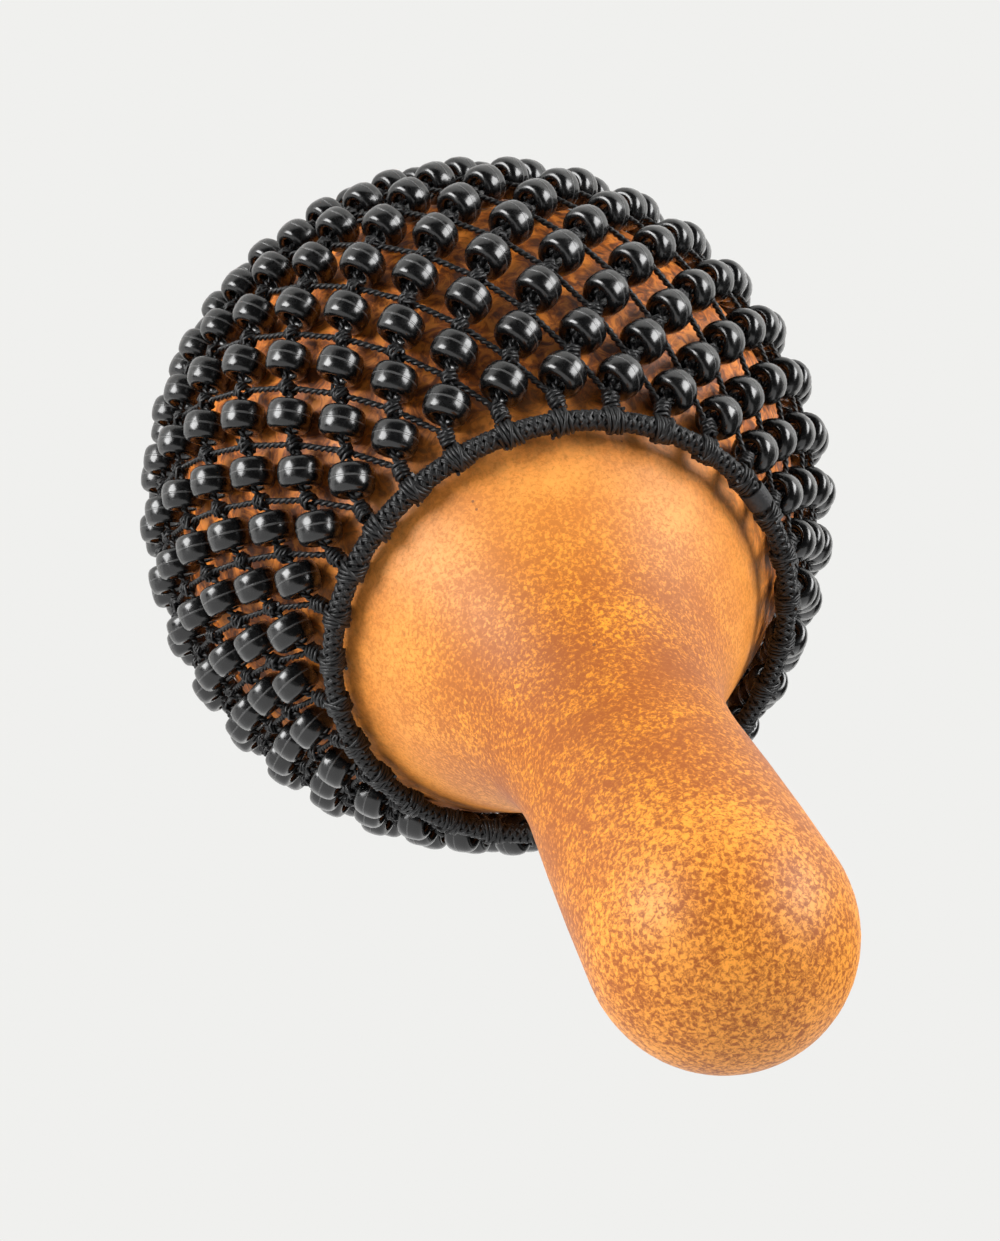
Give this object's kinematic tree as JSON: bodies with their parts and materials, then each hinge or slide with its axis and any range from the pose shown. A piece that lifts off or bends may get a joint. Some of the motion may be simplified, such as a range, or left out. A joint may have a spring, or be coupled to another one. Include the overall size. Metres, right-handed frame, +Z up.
{
  "type": "beaded gourd rattle",
  "caption": "Gourd-shaped shaker: hollow laminate shell with a grip neck, wrapped in a loose knotted cord net strung with barrel beads.",
  "frame": {"origin": "centre of the flat foot under the shell", "axes": "+Z up along the shell's axis, towards the neck; +X and +Y level"},
  "size_m": [0.1605, 0.1607, 0.2469],
  "materials": {
    "shell_lacquer": "satin lacquer, mottled orange brown",
    "bead_plastic": "gloss moulded black",
    "net_cord": "twisted black synthetic cord",
    "braid_cord": "round braided black synthetic cord",
    "fused_cord": "heat fused black sleeve"
  },
  "bodies": {
    "shell": {"gourd_shell": "shell_lacquer"},
    "net": {"collar_braid": "braid_cord", "collar_sleeve": "fused_cord", "collar_hitches": "net_cord", "hem_braid": "braid_cord", "hem_sleeve": "fused_cord", "hem_hitches": "net_cord", "knots_row_00": "net_cord", "knots_row_01": "net_cord", "knots_row_02": "net_cord", "knots_row_03": "net_cord", "knots_row_04": "net_cord", "knots_row_05": "net_cord", "knots_row_06": "net_cord", "knots_row_07": "net_cord", "knots_row_08": "net_cord", "knots_row_09": "net_cord", "knots_row_10": "net_cord", "knots_row_11": "net_cord", "knots_row_12": "net_cord", "bare_cords_row_01": "net_cord", "bead_cords_row_01": "net_cord", "bare_cords_row_02": "net_cord", "bead_cords_row_02": "net_cord", "bare_cords_row_03": "net_cord", "bead_cords_row_03": "net_cord", "bare_cords_row_04": "net_cord", "bead_cords_row_04": "net_cord", "bare_cords_row_05": "net_cord", "bead_cords_row_05": "net_cord", "bare_cords_row_06": "net_cord", "bead_cords_row_06": "net_cord", "bare_cords_row_07": "net_cord", "bead_cords_row_07": "net_cord", "bare_cords_row_08": "net_cord", "bead_cords_row_08": "net_cord", "bare_cords_row_09": "net_cord", "bead_cords_row_09": "net_cord", "bare_cords_row_10": "net_cord", "bead_cords_row_10": "net_cord", "bare_cords_row_11": "net_cord", "bead_cords_row_11": "net_cord", "bare_cords_row_12": "net_cord", "bead_cords_row_12": "net_cord"},
    "bead_ring_01": {"beads_row_01": "bead_plastic"},
    "bead_ring_02": {"beads_row_02": "bead_plastic"},
    "bead_ring_03": {"beads_row_03": "bead_plastic"},
    "bead_ring_04": {"beads_row_04": "bead_plastic"},
    "bead_ring_05": {"beads_row_05": "bead_plastic"},
    "bead_ring_06": {"beads_row_06": "bead_plastic"},
    "bead_ring_07": {"beads_row_07": "bead_plastic"},
    "bead_ring_08": {"beads_row_08": "bead_plastic"},
    "bead_ring_09": {"beads_row_09": "bead_plastic"},
    "bead_ring_10": {"beads_row_10": "bead_plastic"},
    "bead_ring_11": {"beads_row_11": "bead_plastic"},
    "bead_ring_12": {"beads_row_12": "bead_plastic"}
  },
  "joints": [
    {"name": "net_turn", "type": "hinge", "parent": "shell", "child": "net", "pos_m": [0, 0, 0], "axis": [0, 0, 1], "continuous": true},
    {"name": "bead_ring_01_play", "type": "hinge", "parent": "net", "child": "bead_ring_01", "pos_m": [0, 0, 0], "axis": [0, 0, 1], "range_deg": [-0.1292, 0.1292]},
    {"name": "bead_ring_02_play", "type": "hinge", "parent": "net", "child": "bead_ring_02", "pos_m": [0, 0, 0], "axis": [0, 0, 1], "range_deg": [-0.3382, 0.3382]},
    {"name": "bead_ring_03_play", "type": "hinge", "parent": "net", "child": "bead_ring_03", "pos_m": [0, 0, 0], "axis": [0, 0, 1], "range_deg": [-0.3966, 0.3966]},
    {"name": "bead_ring_04_play", "type": "hinge", "parent": "net", "child": "bead_ring_04", "pos_m": [0, 0, 0], "axis": [0, 0, 1], "range_deg": [-0.3702, 0.3702]},
    {"name": "bead_ring_05_play", "type": "hinge", "parent": "net", "child": "bead_ring_05", "pos_m": [0, 0, 0], "axis": [0, 0, 1], "range_deg": [-0.3532, 0.3532]},
    {"name": "bead_ring_06_play", "type": "hinge", "parent": "net", "child": "bead_ring_06", "pos_m": [0, 0, 0], "axis": [0, 0, 1], "range_deg": [-0.3436, 0.3436]},
    {"name": "bead_ring_07_play", "type": "hinge", "parent": "net", "child": "bead_ring_07", "pos_m": [0, 0, 0], "axis": [0, 0, 1], "range_deg": [-0.3397, 0.3397]},
    {"name": "bead_ring_08_play", "type": "hinge", "parent": "net", "child": "bead_ring_08", "pos_m": [0, 0, 0], "axis": [0, 0, 1], "range_deg": [-0.3441, 0.3441]},
    {"name": "bead_ring_09_play", "type": "hinge", "parent": "net", "child": "bead_ring_09", "pos_m": [0, 0, 0], "axis": [0, 0, 1], "range_deg": [-0.3541, 0.3541]},
    {"name": "bead_ring_10_play", "type": "hinge", "parent": "net", "child": "bead_ring_10", "pos_m": [0, 0, 0], "axis": [0, 0, 1], "range_deg": [-0.3717, 0.3717]},
    {"name": "bead_ring_11_play", "type": "hinge", "parent": "net", "child": "bead_ring_11", "pos_m": [0, 0, 0], "axis": [0, 0, 1], "range_deg": [-0.3988, 0.3988]},
    {"name": "bead_ring_12_play", "type": "hinge", "parent": "net", "child": "bead_ring_12", "pos_m": [0, 0, 0], "axis": [0, 0, 1], "range_deg": [-0.439, 0.439]}
  ],
  "couplings": [
    {"joint": "bead_ring_01_play", "follows": "bead_ring_07_play", "ratio": 0.3774},
    {"joint": "bead_ring_02_play", "follows": "bead_ring_07_play", "ratio": 0.9928},
    {"joint": "bead_ring_03_play", "follows": "bead_ring_07_play", "ratio": 1.1647},
    {"joint": "bead_ring_04_play", "follows": "bead_ring_07_play", "ratio": 1.0869},
    {"joint": "bead_ring_05_play", "follows": "bead_ring_07_play", "ratio": 1.0367},
    {"joint": "bead_ring_06_play", "follows": "bead_ring_07_play", "ratio": 1.0087},
    {"joint": "bead_ring_08_play", "follows": "bead_ring_07_play", "ratio": 1.0099},
    {"joint": "bead_ring_09_play", "follows": "bead_ring_07_play", "ratio": 1.0393},
    {"joint": "bead_ring_10_play", "follows": "bead_ring_07_play", "ratio": 1.0912},
    {"joint": "bead_ring_11_play", "follows": "bead_ring_07_play", "ratio": 1.1711},
    {"joint": "bead_ring_12_play", "follows": "bead_ring_07_play", "ratio": 1.2893}
  ]
}
